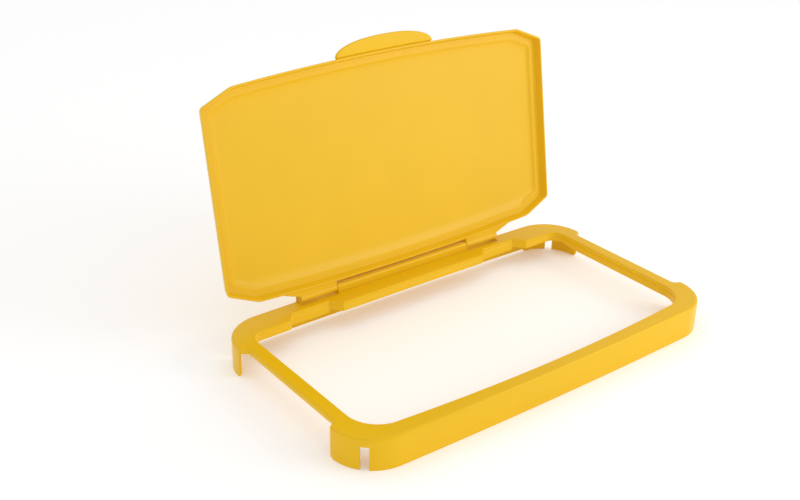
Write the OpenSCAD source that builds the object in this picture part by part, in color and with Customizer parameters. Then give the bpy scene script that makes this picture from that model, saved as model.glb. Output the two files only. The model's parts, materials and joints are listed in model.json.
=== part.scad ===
// Hinged lid on a clip-on rim frame, for a slim rectangular waste bin.
// Millimetres. The origin is the centre of the frame on the plane of its lower edge,
// with +Z up and +Y towards the hinge. The lid is drawn open, leaning on its stop.

/* [Frame] */
// Length over the corner skirts
frame_length = 517; // [505:1:530]
// Depth at the ends of the front and rear edges
frame_depth = 282; // [278:1:290]
// Height from the lower edge of the skirt to the top of the flange
frame_height = 37; // [34:1:42]
// Thickness of the moulded walls
wall = 2.5; // [2:0.1:2.8]
// Radius of the outer corners
corner_r = 51; // [46:1:54]
// How far the sides stand in from the corner skirts
side_step = 8.5; // [7:0.5:9.5]
// Width of the slits in the corner skirts
slit_width = 9.5; // [6:0.5:12]
// Height of the slits in the corner skirts
slit_height = 27; // [20:1:30]

/* [Opening] */
// Length of the opening
opening_length = 468.4; // [460:0.2:472]
// Width of the front flange at its ends
front_flange = 20.6; // [18:0.2:22]
// Width of the rear flange at its ends
rear_flange = 35.4; // [34:0.2:37]
// Radius of the opening's front corners
opening_r = 37.4; // [34:0.2:40]
// Radius of the opening's rear corners
opening_rear_r = 16; // [12:0.5:24]
// Height of the lip round the opening
lip_height = 14; // [10:1:18]

/* [Lid] */
// Length of the lid's rim
lid_length = 488; // [482:1:492]
// Depth of the lid's rim at its ends
lid_depth = 246.5; // [244:0.5:248]
// Height of the lid from its rim to its top face
lid_height = 16; // [15:0.5:18]
// Length of the grip at the front of the lid
grip_length = 138; // [100:1:180]
// How far the grip reaches past the middle of the lid's front edge
grip_reach = 17.7; // [14:0.1:24]

/* [Hinge] */
// How far the lid swings from closed to its open stop
open_angle = 99.7; // [60:0.1:99.7]
// Radius of the hinge knuckles
knuckle_r = 4.5; // [4:0.1:4.5]
// Radius of the hinge pins
pin_r = 2.5; // [1.5:0.1:2.8]

/* [Hidden] */

cut = 1;             // how far a cutting solid runs past a face
arc_steps = 12;      // straight pieces in a quarter round corner
bow_steps = 16;      // straight pieces in a bowed edge

// Frame
half_length = frame_length / 2;
front_y = -frame_depth / 2;
rear_y = frame_depth / 2;
front_bow = 3;                    // how far the front edge bows out in the middle
rear_bow = 1.8;
side_x = half_length - side_step; // outer edge of the side flanges
skirt_end_front = -89;            // where the corner skirts end along the sides
skirt_end_rear = 87;
step_run = 7;                     // how far past the skirt's end the side step slopes
side_lip_height = 6.5;
rear_skirt_base = 3.5;            // the rear skirt ends this far above the corner skirts
skirt_nick_r = 5.5;               // rounding of the skirts' free lower corners

// Opening
opening_half = opening_length / 2;
opening_front = front_y + front_flange;
opening_rear = rear_y - rear_flange;
opening_front_bow = 8.2;
opening_rear_bow = 1.8;
rear_lip_height = 11.5;
notch_inner = 119;                // the notches in the rear flange, from the middle
notch_outer = 169.5;
notch_flare = 12;                 // how much wider each end of a notch is at the opening
notch_y = 120;
notch_lip_height = 15.5;

// Hinge
axis_y = 134;
axis_z = 43;
rail_half = 99.5;                 // half the length of the rail between the arms
arm_inner = 100;                  // the arms, from the middle
arm_outer = 150.5;
arm_flare = 24;                   // how much wider an arm is where it meets the lid
side_gap = 0.4;                   // between the rail and the arms
slot_front = 127.5;               // the slots that the knuckles turn in
slot_rear = 139.25;
slot_outer = 151;
fence_top = 46;                   // the wall behind the hinge, which stops the arms
running_gap = 0.08;               // round a pin in the bores that turn on it
leaf_low = -3.3;                  // the leaf of an arm, from the axis when closed
leaf_high = 4.5;
rail_r = 4.5;                     // the rounded top of the rail
rail_foot = 0.5;                  // how much wider the rail is at its foot
pin_depth = 12.5;                 // how far a pin reaches into the rail
pin_bore_depth = 13;
pin_chamfer = 0.4;

// Lid, in its closed position
rim_gap = 0.45;                   // between the closed lid and the frame
lid_base = frame_height + rim_gap;
lid_rear = axis_y - 13.2;         // at the ends of the rear edge
lid_front = lid_rear - lid_depth;
lid_front_bow = 6.8;
lid_rear_bow = 5.6;
front_chamfer = [40, 17];
rear_chamfer = [39, 17.5];
lid_corner_r = 6;
lip_draft = 3;                    // how far the outer lip leans in towards the top
ledge_z = 9.5;                    // underside of the ledge, above the rim
ledge_width = 8;
step_draft = 4;                   // how far the second step leans in
hull_sliver = 0.01;

// Grip, in its closed position
grip_corner_r = 16;
grip_bow = 4.5;
grip_base = lid_base + 1;
grip_thickness = 4;
grip_groove = 2;                  // width of the groove between the grip and the rim
grip_groove_depth = 1.2;

// A quarter circle of points
function corner_arc(centre, r, start) =
    [for (i = [0:arc_steps]) let (a = start + 90 * i / arc_steps) centre + r * [cos(a), sin(a)]];

// The inner points of an edge from x = side * half to x = -side * half that bows out
function bowed_edge(half, y, bow, side) =
    [for (i = [1:bow_steps - 1]) let (t = 1 - 2 * i / bow_steps)
        [side * half * t, y + bow * (1 - t * t)]];

// A rectangle with round corners, whose front and rear edges bow out
function bowed_outline(half, front, rear, front_r, rear_r, front_bow, rear_bow) = concat(
    corner_arc([half - rear_r, rear - rear_r], rear_r, 0),
    bowed_edge(half - rear_r, rear, rear_bow, 1),
    corner_arc([rear_r - half, rear - rear_r], rear_r, 90),
    corner_arc([front_r - half, front + front_r], front_r, 180),
    bowed_edge(half - front_r, front, -front_bow, -1),
    corner_arc([half - front_r, front + front_r], front_r, 270));

// Draws its children on both sides of the middle
module both_sides() {
    children();
    mirror([1, 0, 0]) children();
}

// A box from one corner to the other
module box(low, high) {
    translate(low) cube(high - low);
}

// Extrudes an outline in Y and Z along X
module along_x(from, to) {
    translate([from, 0, 0]) rotate([90, 0, 90]) linear_extrude(to - from) children();
}

// A cylinder on the hinge axis
module on_axis(from, to, r) {
    translate([from, axis_y, axis_z]) rotate([0, 90, 0]) cylinder(h = to - from, r = r, $fn = 64);
}

// The frame's plan, drawn in by inset, with the sides stepped in between the corners
module frame_plan(inset) {
    difference() {
        polygon(bowed_outline(half_length - inset, front_y + inset, rear_y - inset,
                              corner_r - inset, corner_r - inset, front_bow, rear_bow));
        both_sides() polygon([
            [side_x - inset, skirt_end_front + step_run],
            [half_length - inset, skirt_end_front],
            [half_length + cut, skirt_end_front],
            [half_length + cut, skirt_end_rear],
            [half_length - inset, skirt_end_rear],
            [side_x - inset, skirt_end_rear - step_run]]);
    }
}

// The opening's plan, drawn out by grow, with the two notches in the rear flange
module opening_plan(grow) {
    offset(delta = grow) {
        polygon(bowed_outline(opening_half, opening_front, opening_rear,
                              opening_r, opening_rear_r, opening_front_bow, opening_rear_bow));
        both_sides() polygon([
            [notch_inner - notch_flare, opening_rear], [notch_inner, notch_y],
            [notch_outer, notch_y], [notch_outer + notch_flare, opening_rear],
            [notch_outer, 0], [notch_inner, 0]]);
    }
}

// The wall under the flange, cut away along the sides and slit at the corners
module skirt() {
    difference() {
        linear_extrude(frame_height) difference() {
            frame_plan(0);
            frame_plan(wall);
        }
        both_sides() along_x(side_x - 2 * wall, half_length + cut) side_cut_profile();
        box([corner_r - half_length, notch_y, -cut],
            [half_length - corner_r, rear_y + corner_r, rear_skirt_base]);
        both_sides() {
            corner_slit(front_y + corner_r, -45);
            corner_slit(rear_y - corner_r, 45);
        }
    }
}

// What the skirt leaves open along a side, with the free lower corners rounded
module side_cut_profile() {
    translate([skirt_end_front, -cut])
        square([skirt_end_rear - skirt_end_front, frame_height - side_lip_height + cut]);
    translate([skirt_end_front, 0]) corner_nick();
    translate([skirt_end_rear, 0]) mirror([1, 0]) corner_nick();
}

// The waste outside a round lower corner
module corner_nick() {
    difference() {
        translate([-skirt_nick_r, -cut]) square([skirt_nick_r + cut, skirt_nick_r + cut]);
        translate([-skirt_nick_r, skirt_nick_r]) circle(skirt_nick_r, $fn = 48);
    }
}

// A slit that lets the corner skirt spring over the bin's edge
module corner_slit(centre_y, angle) {
    translate([half_length - corner_r, centre_y, 0]) rotate(angle)
        box([corner_r - 4 * wall, -slit_width / 2, -cut],
            [corner_r + cut, slit_width / 2, slit_height]);
}

// The lip round the opening, lower at the rear and deeper in the notches
module opening_lip() {
    difference() {
        translate([0, 0, frame_height - notch_lip_height]) linear_extrude(notch_lip_height)
            difference() {
                opening_plan(wall);
                opening_plan(0);
            }
        box([-half_length, front_y, 0],
            [half_length, opening_rear - opening_rear_r, frame_height - lip_height]);
        box([-half_length, opening_rear - opening_rear_r - cut, 0],
            [half_length, notch_y, frame_height - rear_lip_height]);
    }
}

// The clip-on frame: flange, skirt, lip, hinge slots and the stop wall behind the hinge
module rim_frame() {
    color([0.96, 0.75, 0.15]) {
        difference() {
            translate([0, 0, frame_height - wall]) linear_extrude(wall) frame_plan(0);
            both_sides() box([arm_inner - side_gap, slot_front, 0],
                             [slot_outer, slot_rear, frame_height + cut]);
            translate([0, 0, frame_height - wall - cut]) linear_extrude(wall + 2 * cut)
                opening_plan(0);
        }
        skirt();
        opening_lip();
        intersection() {
            linear_extrude(fence_top) frame_plan(0);
            box([-slot_outer, slot_rear, frame_height - wall],
                [slot_outer, rear_y + corner_r, fence_top]);
        }
    }
}

// The raised bar between the arms: a rounded top on a slightly wider foot, with a pin bore
// in each end
module hinge_rail() {
    color([0.96, 0.77, 0.17]) difference() {
        union() {
            on_axis(-rail_half, rail_half, rail_r);
            box([-rail_half, axis_y - rail_r, frame_height], [rail_half, axis_y + rail_r, axis_z]);
            box([-rail_half, axis_y - rail_r - rail_foot, frame_height],
                [rail_half, axis_y + rail_r + rail_foot, (frame_height + axis_z) / 2]);
        }
        both_sides() on_axis(rail_half - pin_bore_depth, rail_half + cut, pin_r + running_gap);
    }
}

// Turns its children about the hinge axis from closed to open
module opened() {
    translate([0, axis_y, axis_z]) rotate([-open_angle, 0, 0])
        translate([0, -axis_y, -axis_z]) children();
}

// The lid's plan at its rim, drawn in by inset
module lid_plan(inset) {
    half = lid_length / 2;
    offset(r = lid_corner_r, $fn = 32) offset(delta = -inset - lid_corner_r) polygon(concat([
        [half, lid_front + front_chamfer.y],
        [half, lid_rear - rear_chamfer.y],
        [half - rear_chamfer.x, lid_rear]],
        bowed_edge(half - rear_chamfer.x, lid_rear, lid_rear_bow, 1),
        [[rear_chamfer.x - half, lid_rear],
        [-half, lid_rear - rear_chamfer.y],
        [-half, lid_front + front_chamfer.y],
        [front_chamfer.x - half, lid_front]],
        bowed_edge(half - front_chamfer.x, lid_front, -lid_front_bow, -1),
        [[half - front_chamfer.x, lid_front]]));
}

// A solid between two drafted copies of the lid's plan
module lid_layer(low, high, low_inset, high_inset) {
    hull() {
        translate([0, 0, lid_base + low]) linear_extrude(hull_sliver) lid_plan(low_inset);
        translate([0, 0, lid_base + high - hull_sliver]) linear_extrude(hull_sliver)
            lid_plan(high_inset);
    }
}

// The outside of the lid's outer lip
module lid_lip_solid() {
    lid_layer(0, ledge_z + wall, 0, lip_draft);
}

// The lid: a shallow tray with a ledge and a second step round its panel
module lid_shell() {
    step_inset = lip_draft + ledge_width;
    color([0.95, 0.76, 0.2]) opened() difference() {
        union() {
            lid_lip_solid();
            lid_layer(ledge_z, lid_height, step_inset, step_inset + step_draft);
        }
        lid_layer(-cut, ledge_z, wall, wall + lip_draft);
        lid_layer(ledge_z - cut, lid_height - wall, wall + step_inset - step_draft / 4,
                  wall + step_inset + step_draft);
    }
}

// The finger grip in the middle of the lid's front edge
module grip_tab() {
    half = grip_length / 2;
    tip = lid_front - lid_front_bow - grip_reach;
    color([0.96, 0.78, 0.24]) opened() difference() {
        translate([0, 0, grip_base]) linear_extrude(grip_thickness) polygon(concat(
            [[half, lid_front + wall], [-half, lid_front + wall]],
            corner_arc([grip_corner_r - half, tip + grip_bow + grip_corner_r], grip_corner_r, 180),
            bowed_edge(half - grip_corner_r, tip + grip_bow, -grip_bow, -1),
            corner_arc([half - grip_corner_r, tip + grip_bow + grip_corner_r],
                       grip_corner_r, 270)));
        lid_lip_solid();
        translate([0, -grip_groove, grip_base - cut]) linear_extrude(grip_groove_depth + cut)
            intersection() {
                lid_plan(0);
                square([grip_length + cut, 2 * lid_depth], center = true);
            }
    }
}

// The right arm: one long knuckle on a leaf that widens to meet the lid's rear wall
module hinge_arm() {
    difference() {
        union() {
            on_axis(arm_inner, arm_outer, knuckle_r);
            translate([0, 0, axis_z + leaf_low]) linear_extrude(leaf_high - leaf_low) polygon([
                [arm_inner, lid_rear - wall], [arm_outer + arm_flare, lid_rear - wall],
                [arm_outer + arm_flare, lid_rear], [arm_outer, axis_y - knuckle_r + cut],
                [arm_outer, axis_y], [arm_inner, axis_y]]);
        }
        on_axis(arm_inner - cut, arm_outer + cut, pin_r);
        lid_lip_solid();
    }
}

module hinge_arm_left() {
    color([0.96, 0.78, 0.13]) opened() mirror([1, 0, 0]) hinge_arm();
}

module hinge_arm_right() {
    color([0.96, 0.78, 0.13]) opened() hinge_arm();
}

// The right pin, fixed in the arm and free to turn in the rail
module hinge_pin() {
    pin_length = arm_outer - rail_half + pin_depth;
    translate([rail_half - pin_depth, axis_y, axis_z]) rotate([0, 90, 0])
        rotate_extrude($fn = 64) polygon([
            [0, 0], [pin_r - pin_chamfer, 0], [pin_r, pin_chamfer],
            [pin_r, pin_length - pin_chamfer], [pin_r - pin_chamfer, pin_length],
            [0, pin_length]]);
}

module hinge_pin_left() {
    color([0.93, 0.72, 0.12]) mirror([1, 0, 0]) hinge_pin();
}

module hinge_pin_right() {
    color([0.93, 0.72, 0.12]) hinge_pin();
}

rim_frame();
hinge_rail();
lid_shell();
grip_tab();
hinge_arm_left();
hinge_arm_right();
hinge_pin_left();
hinge_pin_right();
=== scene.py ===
"""A hinged lid on its rim frame, standing open. Lengths in this script are millimetres,
and points are given with the lid closed: the lid's pieces are turned open as they are made."""
import json
import math

import bpy
from mathutils import Matrix, Vector


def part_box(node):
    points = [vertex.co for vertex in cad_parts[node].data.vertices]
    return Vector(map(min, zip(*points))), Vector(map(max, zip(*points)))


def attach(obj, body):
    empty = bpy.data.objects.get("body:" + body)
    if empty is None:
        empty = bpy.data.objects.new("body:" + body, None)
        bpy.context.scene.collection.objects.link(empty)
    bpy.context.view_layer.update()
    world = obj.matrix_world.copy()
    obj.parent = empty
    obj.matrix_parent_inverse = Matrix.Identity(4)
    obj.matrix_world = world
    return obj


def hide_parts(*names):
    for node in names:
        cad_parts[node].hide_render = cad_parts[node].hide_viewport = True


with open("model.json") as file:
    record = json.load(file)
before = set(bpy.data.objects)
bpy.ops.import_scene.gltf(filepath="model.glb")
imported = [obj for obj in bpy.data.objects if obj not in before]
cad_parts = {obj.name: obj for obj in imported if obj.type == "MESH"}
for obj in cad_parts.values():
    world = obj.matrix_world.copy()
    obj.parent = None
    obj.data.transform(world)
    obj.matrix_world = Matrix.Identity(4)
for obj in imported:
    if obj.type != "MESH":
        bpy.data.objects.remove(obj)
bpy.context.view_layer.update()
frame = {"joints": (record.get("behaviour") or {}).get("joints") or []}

MM = 0.001
SIDES = {"left": -1, "right": 1}


def node_box(node):
    """Lowest and highest corner of a CAD node, in millimetres."""
    low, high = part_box(node)
    return low / MM, high / MM


# ---------------------------------------------------------------- sizes from the frame

rail_low, rail_high = node_box("hinge_rail")
grip_low, grip_high = node_box("grip_tab")
pin_low, pin_high = node_box("hinge_pin_right")
hinge = frame["joints"][0]
axis_y, axis_z = (c / MM for c in hinge["pos_m"][1:])
open_angle = math.radians(hinge["range_deg"][1])

WALL = 2.5                       # thickness of both mouldings
TOP = rail_low.z                 # top face of the frame's flange
HALF = 258.5                     # half the frame's length over its corner skirts
FRONT = -141.0                   # front edge at its ends
REAR = 141.0
CORNER_R = 51.0
FRONT_BOW = 3.0                  # how far the front edge stands forward in its middle
REAR_BOW = 1.8
SIDE_X = 250.0                   # outer edge of the side flanges
TOP_ROUND = 3.0                  # rounding of the flange's outer edge
SIDE_LIP = 6.5                   # depth of the side flanges' turned-down edge
SLIT_TOP = 27.0
SLIT_HALF = 9.5 / 2
REAR_BASE = 3.5                  # the rear skirt ends this much higher than the others
NICK_R = 5.5                     # rounding of the corner skirts' lower ends

FRONT_FLANGE, REAR_FLANGE = 20.6, 35.4
OPEN_HALF = 234.2
OPEN_FRONT = FRONT + FRONT_FLANGE
OPEN_REAR = REAR - REAR_FLANGE
OPEN_R = 37.4                    # the opening's front corners
OPEN_REAR_R = 16.0               # the opening's rear corners
OPEN_FRONT_BOW = 8.2
OPEN_REAR_BOW = 1.8
LIP_DEPTH, REAR_LIP_DEPTH, NOTCH_LIP_DEPTH = 14.0, 11.5, 15.5
NOTCH_INNER, NOTCH_OUTER, NOTCH_Y = 119.0, 169.5, 120.0
NOTCH_FLARE = 12.0               # each end of a notch is this much wider at the opening
SLOT_INNER, SLOT_OUTER, SLOT_FRONT = 99.6, 151.0, 127.5
FENCE_TOP = 46.0                 # the stop wall behind the hinge

LID_HALF = 244.0
LID_DEPTH = 246.5
LID_SETBACK = 13.2               # from the hinge axis to the lid's rear edge
LID_REAR = axis_y - LID_SETBACK
LID_FRONT = LID_REAR - LID_DEPTH
FRONT_CHAMFER = (40.0, 17.0)     # along X and Y
REAR_CHAMFER = (39.0, 17.5)
LID_BOW = 6.8
LID_REAR_BOW = 5.6
REAR_SOFT = 20.0                 # extra rounding of the two corners next to the rear edge
LID_BASE = TOP + 0.45            # the lid's rim clears the flange
LIP_SLOPE = 0.25                 # how far the lid's outer lip leans in, per unit of height

GRIP_REACH, GRIP_THICK = 17.7, 4.0
ARM_INNER, ARM_OUTER, ARM_FLARE = 100.0, 150.5, 24.0
KNUCKLE_R = 4.5
LEAF_DROP = 3.3                  # the leaf's underside, below the hinge axis
LEAF_BITE = 1.2                  # how far the leaf runs into the lid's wall
RAIL_R, RAIL_FOOT = 4.5, 0.5
PIN_R, PIN_CHAMFER = 2.5, 0.4


# ---------------------------------------------------------------- mesh helpers

class Sheet:
    """Faces gathered by their corner points and welded where the points meet."""

    def __init__(self):
        self.points = []
        self.index = {}
        self.faces = []

    def point(self, p):
        key = tuple(round(c, 3) for c in p)
        if key not in self.index:
            self.index[key] = len(self.points)
            self.points.append(tuple(p))
        return self.index[key]

    def face(self, corners):
        ids = []
        for p in corners:
            i = self.point(p)
            if i not in ids:
                ids.append(i)
        if len(ids) > 2:
            self.faces.append(ids)

    def strip(self, row_a, row_b, closed=False):
        """Quads between two rows of points."""
        n = len(row_a)
        for i in range(n if closed else n - 1):
            j = (i + 1) % n
            self.face([row_a[i], row_a[j], row_b[j], row_b[i]])

    def mirrored(self):
        """Adds the reflection in X of every face."""
        for ids in list(self.faces):
            corners = [self.points[i] for i in reversed(ids)]
            self.face([(-x, y, z) for x, y, z in corners])

    def build(self, name, turn=None):
        """The mesh object, in metres."""
        mesh = bpy.data.meshes.new(name)
        mesh.from_pydata([tuple(c * MM for c in p) for p in self.points], [], self.faces)
        if turn:
            mesh.transform(turn)
        mesh.validate()
        mesh.update()
        for polygon in mesh.polygons:
            polygon.use_smooth = True
        piece = bpy.data.objects.new(name, mesh)
        bpy.context.scene.collection.objects.link(piece)
        return piece


def lerp(a, b, t):
    return a + (b - a) * t


def spread(a, b, steps):
    """The values from a to b in equal steps, both ends included."""
    return [lerp(a, b, i / steps) for i in range(steps + 1)]


def smooth(t):
    """0 to 1 with level ends."""
    t = min(1.0, max(0.0, t))
    return t * t * (3 - 2 * t)


def modifier(piece, kind, **values):
    m = piece.modifiers.new(kind.lower(), kind)
    for key, value in values.items():
        setattr(m, key, value)
    return m


def finish_edges(piece, width, segments=3, angle=38):
    """Rounds the sharp edges and keeps the flat faces' shading flat."""
    modifier(piece, "BEVEL", width=width * MM, segments=segments, limit_method="ANGLE",
             angle_limit=math.radians(angle), use_clamp_overlap=False, miter_outer="MITER_ARC")
    modifier(piece, "WEIGHTED_NORMAL", keep_sharp=False, weight=80)


def thicken(piece, thickness, offset):
    modifier(piece, "SOLIDIFY", thickness=thickness * MM, offset=offset,
             use_even_offset=True, use_quality_normals=True)


OPENED = (Matrix.Translation(Vector((0, axis_y, axis_z)) * MM)
          @ Matrix.Rotation(-open_angle, 4, "X")
          @ Matrix.Translation(Vector((0, -axis_y, -axis_z)) * MM))


# ---------------------------------------------------------------- rim frame

class Station:
    """One place along the frame's edge: its outer point and normal, its inner point,
    and the two points between them across the flange."""

    def __init__(self, outer, normal, inner, base, part, cross=None):
        self.outer = Vector(outer)
        self.normal = Vector(normal).normalized()
        self.inner = Vector(inner)
        self.base = base
        self.part = part          # what runs from here to the next station
        self.edge = self.outer - self.normal * TOP_ROUND
        self.cross = cross or [self.inner.lerp(self.edge, 0.4), self.inner.lerp(self.edge, 0.65)]


def front_stations():
    run = HALF - CORNER_R
    inner_run = OPEN_HALF - OPEN_R
    stations = []
    for t in spread(0, 1, 18)[:-1]:
        slope = 2 * FRONT_BOW * t / run
        stations.append(Station((run * t, FRONT - FRONT_BOW * (1 - t * t)), (slope, -1),
                                (inner_run * t, OPEN_FRONT - OPEN_FRONT_BOW * (1 - t * t)),
                                0, "skirt"))
    return stations


def opening_corner(y_sign):
    """Radius and centre's Y of the opening's front (-1) or rear (1) corner."""
    if y_sign < 0:
        return OPEN_R, OPEN_FRONT + OPEN_R
    return OPEN_REAR_R, OPEN_REAR - OPEN_REAR_R


def corner_stations(y_sign, start, end, steps, part):
    """Stations along a corner, from start to end in degrees, without the last."""
    centre = Vector((HALF - CORNER_R, y_sign * (REAR - CORNER_R)))
    inner_r, inner_y = opening_corner(y_sign)
    inner_centre = Vector((OPEN_HALF - inner_r, inner_y))
    stations = []
    for angle in spread(start, end, steps)[:-1]:
        a = math.radians(angle)
        d = Vector((math.cos(a), math.sin(a)))
        stations.append(Station(centre + d * CORNER_R, d, inner_centre + d * inner_r, 0, part))
    return stations


def step_stations(y_sign, start_y, skirt_end, end_y):
    """Stations where the corner skirt ends and the side steps in, from the corner's side."""
    centre_y = y_sign * (REAR - CORNER_R)
    inner_r, inner_y = opening_corner(y_sign)
    inner_x = OPEN_HALF - inner_r
    start_angle = math.asin((start_y - centre_y) / CORNER_R)
    inward = math.copysign(1, end_y - start_y)
    nick = [skirt_end - inward * gap for gap in (NICK_R, 3.8, 2.2, 0.9, 0.0)]
    ys = [start_y, lerp(start_y, nick[0], 0.5)] + nick + spread(skirt_end, end_y, 4)[1:]
    stations = []
    for y in ys:
        share = (y - start_y) / (end_y - start_y)
        t = max(0.0, (y - skirt_end) / (end_y - skirt_end))
        overhang = y - centre_y
        past_centre = overhang * inward > 0
        arc_x = HALF if past_centre else HALF - CORNER_R + math.sqrt(CORNER_R ** 2 - overhang ** 2)
        x = lerp(arc_x, SIDE_X, smooth(t))
        slope = 0.35 * 6 * t * (1 - t) * (arc_x - SIDE_X) / (end_y - skirt_end)
        lean = 0 if past_centre else overhang / CORNER_R
        a = start_angle * (1 - share)
        inner = (inner_x + inner_r * math.cos(a), inner_y + inner_r * math.sin(a))
        gap = (skirt_end - y) * inward
        has_skirt = gap > 1e-6
        base = 0.0
        if gap < NICK_R:
            depth = NICK_R - max(gap, 0.0)
            base = NICK_R - math.sqrt(max(NICK_R ** 2 - depth ** 2, 0.0))
        stations.append(Station((x, y), (1, lean + slope), inner, base,
                                "skirt" if has_skirt else "side"))
    return stations


def rear_stations():
    """Stations along the right half of the rear edge, from the corner to the middle."""
    run = HALF - CORNER_R
    inner_run = OPEN_HALF - OPEN_REAR_R
    xs = (spread(run, NOTCH_OUTER, 4)[:-1] + spread(NOTCH_OUTER, SLOT_OUTER, 3)[:-1]
          + spread(SLOT_OUTER, NOTCH_INNER, 5)[:-1] + spread(NOTCH_INNER, SLOT_INNER, 3)[:-1]
          + spread(SLOT_INNER, 0, 8))
    stations = []
    for x in xs:
        share = max(0.0, (x - NOTCH_OUTER) / (run - NOTCH_OUTER))
        inner_x = x * (NOTCH_INNER - NOTCH_FLARE) / NOTCH_INNER
        if x >= NOTCH_OUTER:
            inner_x = lerp(NOTCH_OUTER + NOTCH_FLARE, inner_run, share)
        inner_y = OPEN_REAR + OPEN_REAR_BOW * (1 - (inner_x / inner_run) ** 2)
        if SLOT_INNER < x <= SLOT_OUTER:
            part = "slot"
        else:
            part = "skirt"
        if NOTCH_INNER < x <= NOTCH_OUTER:
            part += " notch"
        slope = 2 * REAR_BOW * x / run ** 2
        stations.append(Station((x, REAR + REAR_BOW * (1 - (x / run) ** 2)), (slope, 1),
                                (inner_x, inner_y), REAR_BASE, part,
                                [Vector((x + 6 * share, NOTCH_Y)), Vector((x, SLOT_FRONT))]))
    return stations


def frame_stations():
    slit = math.degrees(math.asin(SLIT_HALF / CORNER_R))
    front_start, front_end, front_skirt = -99.0, -82.0, -89.0
    rear_start, rear_end, rear_skirt = 96.0, 80.0, 87.0
    front_angle = math.degrees(math.asin((front_start + REAR - CORNER_R) / CORNER_R))
    rear_angle = math.degrees(math.asin((rear_start - REAR + CORNER_R) / CORNER_R))
    front_step = step_stations(-1, front_start, front_skirt, front_end)
    rear_step = step_stations(1, rear_start, rear_skirt, rear_end)
    rear_step.reverse()
    for here, after in zip(rear_step, rear_step[1:]):
        here.part = "skirt" if after.part == "skirt" else "side"
    rear_step[-1].part = "skirt"
    first = corner_stations(1, rear_angle, 45 - slit, 7, "skirt")[1:]
    middle = []
    for t in spread(0, 1, 9)[1:-1]:
        a, b = front_step[-1], rear_step[0]
        middle.append(Station(a.outer.lerp(b.outer, t), (1, 0), a.inner.lerp(b.inner, t), 0, "side"))
    return (front_stations()
            + corner_stations(-1, -90, -45 - slit, 9, "skirt")
            + corner_stations(-1, -45 - slit, -45 + slit, 3, "slit")
            + corner_stations(-1, -45 + slit, front_angle, 7, "skirt")
            + front_step + middle + rear_step
            + first
            + corner_stations(1, 45 - slit, 45 + slit, 3, "slit")
            + corner_stations(1, 45 + slit, 90, 9, "skirt")
            + rear_stations())


def lip_depth(station):
    """How far the lip hangs below the flange: less along the rear."""
    return lerp(LIP_DEPTH, REAR_LIP_DEPTH, smooth((station.inner.y - 70) / 25))


def raised(point, z):
    return (point.x, point.y, z)


def skirt_column(s, fenced):
    """The points up the outside of the skirt, from its base to the flange's edge."""
    low = [raised(s.outer, z) for z in (s.base, lerp(s.base, SLIT_TOP, 0.5), SLIT_TOP,
                                        TOP - SIDE_LIP, TOP - TOP_ROUND)]
    if fenced:
        return low + [raised(s.outer, TOP), raised(s.outer, FENCE_TOP)]
    curve = []
    for a in spread(0, math.pi / 2, 6)[1:]:
        point = s.outer - s.normal * TOP_ROUND * (1 - math.cos(a))
        curve.append(raised(point, TOP - TOP_ROUND * (1 - math.sin(a))))
    return low + curve


def lip_column(point, inward, depth):
    """The points down the lip: flat, a small step towards the opening, then flat."""
    step = inward * 0.9
    return [raised(point, TOP), raised(point, TOP - 2.5), raised(point, TOP - 5.2),
            raised(point + step, TOP - 6.2), raised(point + step, TOP - depth)]


def frame_sheet():
    """The outside of the frame as one sheet, without its thickness."""
    sheet = Sheet()
    stations = frame_stations()
    for a, b in zip(stations, stations[1:]):
        fenced = "slot" in a.part
        left, right = skirt_column(a, fenced), skirt_column(b, fenced)
        start = {"side": 3, "slit": 2}.get(a.part, 0)
        for i in range(start, len(left) - 1):
            sheet.face([left[i], right[i], right[i + 1], left[i + 1]])
        rows = [(s.edge, s.cross[1], s.cross[0], s.inner) for s in (a, b)]
        for i in range(3):
            if (i == 0 and fenced) or (i == 2 and "notch" in a.part):
                continue
            sheet.face([raised(rows[0][i], TOP), raised(rows[1][i], TOP),
                        raised(rows[1][i + 1], TOP), raised(rows[0][i + 1], TOP)])
    add_lip(sheet, stations)
    sheet.mirrored()
    return sheet


def add_lip(sheet, stations):
    """Hangs the lip from the flange's inner edge, round the notch as well."""
    path = []
    for s in stations:
        in_notch = NOTCH_INNER <= s.outer.x <= NOTCH_OUTER and s.cross[0].y == NOTCH_Y
        plain, set_back = (s.inner, lip_depth(s)), (s.cross[0], NOTCH_LIP_DEPTH)
        near_corner = (s.cross[0].lerp(s.inner, 0.12), lip_depth(s))
        if in_notch and s.outer.x == NOTCH_OUTER:
            path += [plain, near_corner, set_back]
        elif in_notch and s.outer.x == NOTCH_INNER:
            path += [set_back, near_corner, plain]
        elif in_notch:
            path.append(set_back)
        else:
            path.append(plain)
    columns = []
    for i, (point, depth) in enumerate(path):
        before = path[max(i - 1, 0)][0]
        after = path[min(i + 1, len(path) - 1)][0]
        one, two = point - before, after - point
        normals = [Vector((-d.y, d.x)).normalized() for d in (one, two) if d.length > 0]
        inward = sum(normals, Vector((0, 0)))
        inward = inward / max(inward.length_squared / len(normals), 0.5)
        if abs(point.x) < 1e-6:
            inward.x = 0
        columns.append(lip_column(point, inward, depth))
    for a, b in zip(columns, columns[1:]):
        for i in range(len(a) - 1):
            sheet.face([a[i], b[i], b[i + 1], a[i + 1]])


def prism(points, x_from, x_to):
    """A closed solid from an outline in Y and Z, extruded along X."""
    sheet = Sheet()
    near = [(x_from, y, z) for y, z in points]
    far = [(x_to, y, z) for y, z in points]
    sheet.strip(near, far, closed=True)
    sheet.face(list(reversed(near)))
    sheet.face(far)
    return sheet


def arc_points(centre, r, start, end, steps):
    """Points on an arc in Y and Z, in degrees from +Y towards +Z."""
    return [(centre[0] + r * math.cos(math.radians(a)), centre[1] + r * math.sin(math.radians(a)))
            for a in spread(start, end, steps)]


# ---------------------------------------------------------------- lid

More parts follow.
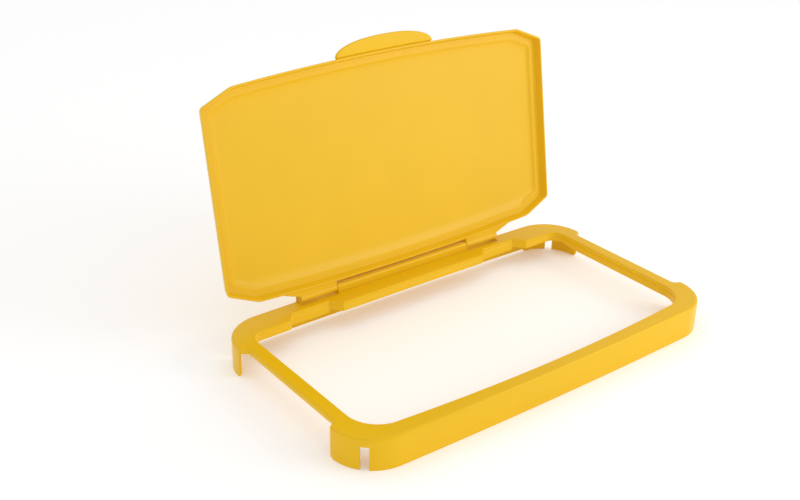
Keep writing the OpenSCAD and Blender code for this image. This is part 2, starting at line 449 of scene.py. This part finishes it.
LID_CORNERS = [
    (LID_HALF, LID_FRONT + FRONT_CHAMFER[1]), (LID_HALF, LID_REAR - REAR_CHAMFER[1]),
    (LID_HALF - REAR_CHAMFER[0], LID_REAR), (REAR_CHAMFER[0] - LID_HALF, LID_REAR),
    (-LID_HALF, LID_REAR - REAR_CHAMFER[1]), (-LID_HALF, LID_FRONT + FRONT_CHAMFER[1]),
    (FRONT_CHAMFER[0] - LID_HALF, LID_FRONT), (LID_HALF - FRONT_CHAMFER[0], LID_FRONT)]
LID_ARC_STEPS = 6
LID_EDGE_STEPS = [14, 4, 30, 4, 14, 4, 30, 4]    # from each corner to the next
FRONT_EDGE = 6
REAR_EDGE = 2


def lid_ring(inset, radius, rear_extra=0.0):
    """The lid's outline drawn in by inset, with round corners, as points in plan."""
    corners = [Vector(c) for c in LID_CORNERS]
    n = len(corners)
    lines = []
    for i in range(n):
        a, b = corners[i], corners[(i + 1) % n]
        along = (b - a).normalized()
        inward = Vector((-along.y, along.x))
        lines.append((a + inward * (inset + (rear_extra if i == REAR_EDGE else 0)), along))
    moved = []
    for i in range(n):
        (p, d), (q, e) = lines[i - 1], lines[i]
        t = ((q.x - p.x) * e.y - (q.y - p.y) * e.x) / (d.x * e.y - d.y * e.x)
        moved.append(p + d * t)
    front_run = moved[FRONT_EDGE + 1].x
    rear_run = moved[REAR_EDGE].x
    tangents = []
    for i in range(n):
        d, e = lines[i - 1][1], lines[i][1]
        half_turn = math.acos(max(-1, min(1, d.dot(e)))) / 2
        soft = max(0.0, REAR_SOFT - inset) if i in (REAR_EDGE, REAR_EDGE + 1) else 0.0
        reach = (radius + soft) * math.tan(half_turn)
        tangents.append((moved[i] - d * reach, moved[i] + e * reach, moved[i]))
    ring = []
    for i in range(n):
        start, end, corner = tangents[i]
        for t in spread(0, 1, LID_ARC_STEPS)[:-1]:
            ring.append((1 - t) ** 2 * start + 2 * t * (1 - t) * corner + t ** 2 * end)
        following = tangents[(i + 1) % n][0]
        for t in spread(0, 1, LID_EDGE_STEPS[i])[:-1]:
            ring.append(end.lerp(following, t))
    for p in ring:
        if p.y < LID_FRONT + inset + 1.0:
            p.y -= LID_BOW * max(0.0, 1 - (p.x / front_run) ** 2)
        on_rear = min(1.0, p.y - (LID_REAR - inset - rear_extra - 1.0))
        if on_rear > 0:
            p.y += LID_REAR_BOW * max(0.0, 1 - (p.x / rear_run) ** 2) * on_rear
    return ring


def lid_rows():
    """Inset, height above the rim, corner radius and rear extra of each ring of the lid's
    inside, from the rim to the middle of the panel's edge."""
    rows = [(WALL, 0.0, 5.0, 0), (WALL + 1.3, 4.2, 4.6, 0), (WALL + 2.4, 7.8, 4.3, 0)]
    rows += [(WALL + 2.65, 8.7, 4.2, 0), (WALL + 3.1, 9.3, 4.0, 0), (WALL + 3.8, 9.5, 4.0, 0)]
    rows += [(WALL + 7.0, 9.5, 4.0, 0), (WALL + 10.3, 9.5, 4.0, 0)]
    rows += [(WALL + 10.9, 9.62, 4.0, 0.2), (WALL + 11.3, 9.9, 4.0, 0.5)]
    rows += [(WALL + 12.6, 11.0, 5.0, 1.5), (WALL + 13.6, 11.8, 6.0, 2.6)]
    rows += [(WALL + 14.8, 12.4, 6.5, 3.8), (WALL + 16.4, 12.8, 7.0, 4.8)]
    rows += [(WALL + 18.6, 13.0, 7.5, 5.5)]
    return rows


def lid_sheet():
    """The inside of the lid as one sheet."""
    sheet = Sheet()
    rings = []
    for inset, height, radius, rear_extra in lid_rows():
        rings.append([raised(p, LID_BASE + height) for p in lid_ring(inset, radius, rear_extra)])
    for a, b in zip(rings, rings[1:]):
        sheet.strip(b, a, closed=True)
    add_panel(sheet, rings[-1])
    return sheet


def add_panel(sheet, ring):
    """Fills the last ring with a slightly dished grid, patched from its four sides. The sides
    meet in the middle of the chamfers."""
    side_steps = LID_EDGE_STEPS[0] + 2 * LID_ARC_STEPS + LID_EDGE_STEPS[1]
    long_steps = LID_EDGE_STEPS[REAR_EDGE] + 2 * LID_ARC_STEPS + LID_EDGE_STEPS[1]
    first = -(LID_EDGE_STEPS[1] // 2)
    n = len(ring)

    def run(start, steps):
        return [Vector(ring[(start + i) % n]) for i in range(steps + 1)]

    right = run(first, side_steps)
    rear = list(reversed(run(first + side_steps, long_steps)))
    left = list(reversed(run(first + side_steps + long_steps, side_steps)))
    front = run(first + 2 * side_steps + long_steps, long_steps)
    grid = []
    for j, v in enumerate(spread(0, 1, side_steps)):
        row = []
        for i, u in enumerate(spread(0, 1, long_steps)):
            p = front[i].lerp(rear[i], v) + left[j].lerp(right[j], u)
            p = p - front[0].lerp(front[-1], u).lerp(rear[0].lerp(rear[-1], u), v)
            p.z += 0.4 * math.sin(math.pi * u) * math.sin(math.pi * v)
            row.append(tuple(p))
        grid.append(row)
    for a, b in zip(grid, grid[1:]):
        sheet.strip(b, a)


# ---------------------------------------------------------------- grip, arms, rail, pins

def lid_front_at(x, height):
    """Y of the outside of the lid's front lip at x, at a height above the rim."""
    run = LID_HALF - FRONT_CHAMFER[0]
    return LID_FRONT - LID_BOW * (1 - (x / run) ** 2) + LIP_SLOPE * height


def grip_column(x_share, inset):
    """X and the free edge's Y of the grip at a share of its half length from the middle."""
    half = (grip_high.x - grip_low.x) / 2 - inset
    reach = GRIP_REACH - inset
    x = half * math.sin(math.pi / 2 * x_share)
    across = min(1.0, abs(x) / half)
    bulge = (1 - across ** 2.3) ** 0.5
    return x, min(lid_front_at(x, 4.5), lid_front_at(0, 0) - bulge * reach)


def grip_sheet():
    """The grip: a rounded band along its free edge, and a groove next to the lid."""
    base, thick, soft = LID_BASE + 1.0, GRIP_THICK, 1.5
    edge = []
    for a in spread(0, 90, 5):                      # underside edge, then top edge
        c, s = math.cos(math.radians(a)), math.sin(math.radians(a))
        edge.append((soft * (1 - s), base + soft * (1 - c)))
    for a in spread(0, 90, 5):
        c, s = math.cos(math.radians(a)), math.sin(math.radians(a))
        edge.append((soft * (1 - c), base + thick - soft * (1 - s)))
    under = [(0.0, base + 1.2), (1.2, base + 1.2), (1.6, base + 1.1), (2.0, base + 0.7),
             (2.4, base + 0.2), (2.9, base), (9.0, base)]
    over = [(9.0, base + thick), (4.4, base + thick), (0.0, base + thick)]
    columns = []
    for share in spread(-1, 1, 60):
        column = []
        x_end, y_end = grip_column(share, soft)
        wall_y = lid_front_at(x_end, 4.5)
        for distance, z in under:
            column.append((x_end, max(y_end, wall_y - distance), z))
        for inset, z in edge:
            x, y = grip_column(share, inset)
            column.append((x, y, z))
        for distance, z in over:
            column.append((x_end, max(y_end, wall_y - distance), z))
        columns.append(column)
    sheet = Sheet()
    for a, b in zip(columns, columns[1:]):
        sheet.strip(b, a, closed=True)
    sheet.face(columns[0])
    sheet.face(list(reversed(columns[-1])))
    return sheet


def lid_rear_at(x, height):
    """Y of the outside of the lid's rear lip at x, at a height above the rim."""
    run = LID_HALF - REAR_CHAMFER[0]
    return LID_REAR + LID_REAR_BOW * (1 - (x / run) ** 2) - LIP_SLOPE * height


def arm_sheet(side):
    """One hinge arm: a long knuckle on a leaf that widens to meet the lid's rear wall."""
    low, high = axis_z - LEAF_DROP, axis_z + KNUCKLE_R
    front_angle = 180 + math.degrees(math.asin(LEAF_DROP / KNUCKLE_R))
    knuckle = arc_points((axis_y, axis_z), KNUCKLE_R, front_angle - 360, 90, 40)
    first_edge = axis_y - 3.4       # the leaf's free edge beside the knuckle

    def column(x, edge_y=None):
        """The outline at x. Past the knuckle's end the leaf stops at edge_y."""
        rear = knuckle if edge_y is None else [(edge_y, min(max(z, low), high)) for y, z in knuckle]
        ends = [(lid_rear_at(x, z - LID_BASE) - LEAF_BITE, z) for z in (high, low)]
        return [(x, y, z) for y, z in [*rear, ends[0], ends[1]]]

    columns = [column(x) for x in spread(ARM_INNER, ARM_OUTER, 6)]
    for t in spread(0, 1, 6):
        x = lerp(ARM_OUTER, ARM_OUTER + ARM_FLARE, t)
        columns.append(column(x, lerp(first_edge, lid_rear_at(x, 0) - 0.4, t)))
    sheet = Sheet()
    for a, b in zip(columns, columns[1:]):
        sheet.strip(a, b, closed=True)
    sheet.face(list(reversed(columns[0])))
    sheet.face(columns[-1])
    if side < 0:
        sheet.points = [(-x, y, z) for x, y, z in sheet.points]
        for ids in sheet.faces:
            ids.reverse()
    return sheet


def rail_profile():
    """Outline of the rail in Y and Z: a round top on a slightly wider foot."""
    r, foot = RAIL_R, RAIL_FOOT
    base, step_z = TOP + 0.01, (TOP + axis_z) / 2
    outline = [(axis_y + r + foot, base), (axis_y + r + foot, step_z - 0.4),
               (axis_y + r + 0.1, step_z)]
    outline += arc_points((axis_y, axis_z), r, 0, 180, 28)
    outline += [(axis_y - r - 0.1, step_z), (axis_y - r - foot, step_z - 0.4),
                (axis_y - r - foot, base)]
    return outline


def fence_sheet():
    """The low wall behind the rail, between the two slots."""
    sheet = Sheet()
    columns = []
    for x in spread(-SLOT_INNER, SLOT_INNER, 16):
        rear = REAR + REAR_BOW * (1 - (x / (HALF - CORNER_R)) ** 2)
        front = rear - WALL
        columns.append([(x, y, z) for y, z in ((front, TOP - 0.5), (rear, TOP - TOP_ROUND),
                                               (rear, FENCE_TOP), (front, FENCE_TOP))])
    for a, b in zip(columns, columns[1:]):
        sheet.strip(a, b, closed=True)
    sheet.face(list(reversed(columns[0])))
    sheet.face(columns[-1])
    return sheet


def pin_sheet(side):
    """A hinge pin with chamfered ends."""
    r, chamfer = PIN_R, PIN_CHAMFER
    inner, outer = pin_low.x, pin_high.x
    sheet = Sheet()
    rings = []
    for x, radius in ((inner, r - chamfer), (inner + chamfer, r), (outer - chamfer, r),
                      (outer, r - chamfer)):
        ring = [(side * x, y, z) for y, z in arc_points((axis_y, axis_z), radius, 0, 360, 48)[:-1]]
        rings.append(ring)
    for a, b in zip(rings, rings[1:]):
        sheet.strip(a, b, closed=True)
    sheet.faces.append([sheet.point(p) for p in reversed(rings[0])])
    sheet.faces.append([sheet.point(p) for p in rings[-1]])
    if side < 0:
        for ids in sheet.faces:
            ids.reverse()
    return sheet


# ---------------------------------------------------------------- materials

def plastic(name, colour, roughness, grain, grain_size, specular, coat=0.0):
    """Moulded polypropylene: a slightly uneven colour and a fine surface grain."""
    material = bpy.data.materials.new(name)
    material.use_nodes = True
    nodes, links = material.node_tree.nodes, material.node_tree.links
    shader = nodes["Principled BSDF"]
    shader.inputs["Roughness"].default_value = roughness
    shader.inputs["IOR"].default_value = 1.49
    shader.inputs["Specular IOR Level"].default_value = specular
    shader.inputs["Coat Weight"].default_value = coat
    shader.inputs["Coat Roughness"].default_value = 0.25
    coordinates = nodes.new("ShaderNodeTexCoord")

    cloud = nodes.new("ShaderNodeTexNoise")
    cloud.inputs["Scale"].default_value = 9.0
    cloud.inputs["Detail"].default_value = 3.0
    ramp = nodes.new("ShaderNodeValToRGB")
    ramp.color_ramp.elements[0].position = 0.3
    ramp.color_ramp.elements[1].position = 0.7
    ramp.color_ramp.elements[0].color = (*[c * 0.97 for c in colour], 1)
    ramp.color_ramp.elements[1].color = (*[min(1.0, c * 1.02) for c in colour], 1)
    links.new(coordinates.outputs["Object"], cloud.inputs["Vector"])
    links.new(cloud.outputs["Fac"], ramp.inputs["Fac"])
    links.new(ramp.outputs["Color"], shader.inputs["Base Color"])

    fine = nodes.new("ShaderNodeTexNoise")
    fine.inputs["Scale"].default_value = grain_size
    fine.inputs["Detail"].default_value = 4.0
    bump = nodes.new("ShaderNodeBump")
    bump.inputs["Strength"].default_value = grain
    bump.inputs["Distance"].default_value = 0.0002
    links.new(coordinates.outputs["Object"], fine.inputs["Vector"])
    links.new(fine.outputs["Fac"], bump.inputs["Height"])
    links.new(bump.outputs["Normal"], shader.inputs["Normal"])

    roughness_range = nodes.new("ShaderNodeMapRange")
    roughness_range.inputs["To Min"].default_value = roughness - 0.04
    roughness_range.inputs["To Max"].default_value = roughness + 0.05
    links.new(fine.outputs["Fac"], roughness_range.inputs["Value"])
    links.new(roughness_range.outputs["Result"], shader.inputs["Roughness"])
    return material


YELLOW = (0.85, 0.505, 0.004)
frame_plastic = plastic("frame_plastic", YELLOW, 0.32, 0.10, 900, 0.25)
lid_plastic = plastic("lid_plastic", YELLOW, 0.42, 0.22, 1400, 0.42)
grip_plastic = plastic("grip_plastic", YELLOW, 0.34, 0.12, 1000, 0.25)
hinge_plastic = plastic("hinge_plastic", YELLOW, 0.34, 0.10, 1000, 0.3)


# ---------------------------------------------------------------- pieces

def place(piece, material, body, node):
    """Gives a piece its material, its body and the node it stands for."""
    piece.data.materials.append(material)
    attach(piece, body)
    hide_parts(node)


rim = frame_sheet().build("rim_frame_moulding")
thicken(rim, WALL, -1)
finish_edges(rim, 0.5)
place(rim, frame_plastic, "frame", "rim_frame")

fence = fence_sheet().build("rim_frame_fence")
finish_edges(fence, 0.7)
place(fence, frame_plastic, "frame", "rim_frame")

rail = prism(rail_profile(), rail_low.x, rail_high.x).build("hinge_rail_bar")
finish_edges(rail, 0.6)
place(rail, frame_plastic, "frame", "hinge_rail")

lid = lid_sheet().build("lid_moulding", OPENED)
thicken(lid, WALL, -1)
finish_edges(lid, 0.7)
place(lid, lid_plastic, "lid", "lid_shell")

grip = grip_sheet().build("grip_moulding", OPENED)
finish_edges(grip, 0.3)
place(grip, grip_plastic, "lid", "grip_tab")

for name, side in SIDES.items():
    arm = arm_sheet(side).build(f"hinge_arm_{name}_leaf", OPENED)
    finish_edges(arm, 0.35)
    place(arm, hinge_plastic, "lid", f"hinge_arm_{name}")
    pin = pin_sheet(side).build(f"hinge_pin_{name}_shaft")
    place(pin, hinge_plastic, "lid", f"hinge_pin_{name}")


# ---------------------------------------------------------------- floor, light and camera

def studio():
    """A pale, faintly glowing floor under an even sky, with a soft key light from the front
    right and a weaker one overhead."""
    floor_mesh = bpy.data.meshes.new("floor")
    size = 20.0
    floor_mesh.from_pydata([(-size, -size, 0), (size, -size, 0), (size, size, 0),
                            (-size, size, 0)], [], [(0, 1, 2, 3)])
    floor = bpy.data.objects.new("floor", floor_mesh)
    bpy.context.scene.collection.objects.link(floor)
    pale = bpy.data.materials.new("pale_floor")
    pale.use_nodes = True
    shader = pale.node_tree.nodes["Principled BSDF"]
    shader.inputs["Base Color"].default_value = (0.98, 0.98, 0.98, 1)
    shader.inputs["Roughness"].default_value = 0.9
    shader.inputs["Specular IOR Level"].default_value = 0.2
    shader.inputs["Emission Color"].default_value = (1, 1, 1, 1)
    shader.inputs["Emission Strength"].default_value = 0.15
    floor_mesh.materials.append(pale)

    world = bpy.data.worlds.new("studio")
    world.use_nodes = True
    sky = world.node_tree.nodes["Background"]
    sky.inputs["Color"].default_value = (1, 1, 1, 1)
    sky.inputs["Strength"].default_value = 0.78
    bpy.context.scene.world = world

    lights = (("key", (1.15, -1.25, 0.75), 0.9, 9.0), ("overhead", (0.3, 0.6, 3.0), 4.0, 8.0))
    for name, at, light_size, power in lights:
        data = bpy.data.lights.new(name, "AREA")
        data.size = light_size
        data.energy = power
        lamp = bpy.data.objects.new(name, data)
        bpy.context.scene.collection.objects.link(lamp)
        lamp.location = at
        aim = Vector((0, 0, 0.1)) - Vector(at)
        lamp.rotation_euler = aim.to_track_quat("-Z", "Y").to_euler()
    bpy.context.scene.view_settings.view_transform = "Standard"


def camera():
    """The photograph's viewpoint."""
    data = bpy.data.cameras.new("camera")
    data.lens = 50.45
    data.sensor_width = 36.0
    view = bpy.data.objects.new("camera", data)
    bpy.context.scene.collection.objects.link(view)
    azimuth, elevation, roll = (math.radians(a) for a in (-37.56, 26.35, 1.06))
    turn = (Matrix.Rotation(azimuth, 4, "Z") @ Matrix.Rotation(math.pi / 2 - elevation, 4, "X")
            @ Matrix.Rotation(roll, 4, "Z"))
    view.matrix_world = Matrix.Translation((-0.75405, -0.84013, 0.67359)) @ turn
    bpy.context.scene.camera = view


studio()
camera()
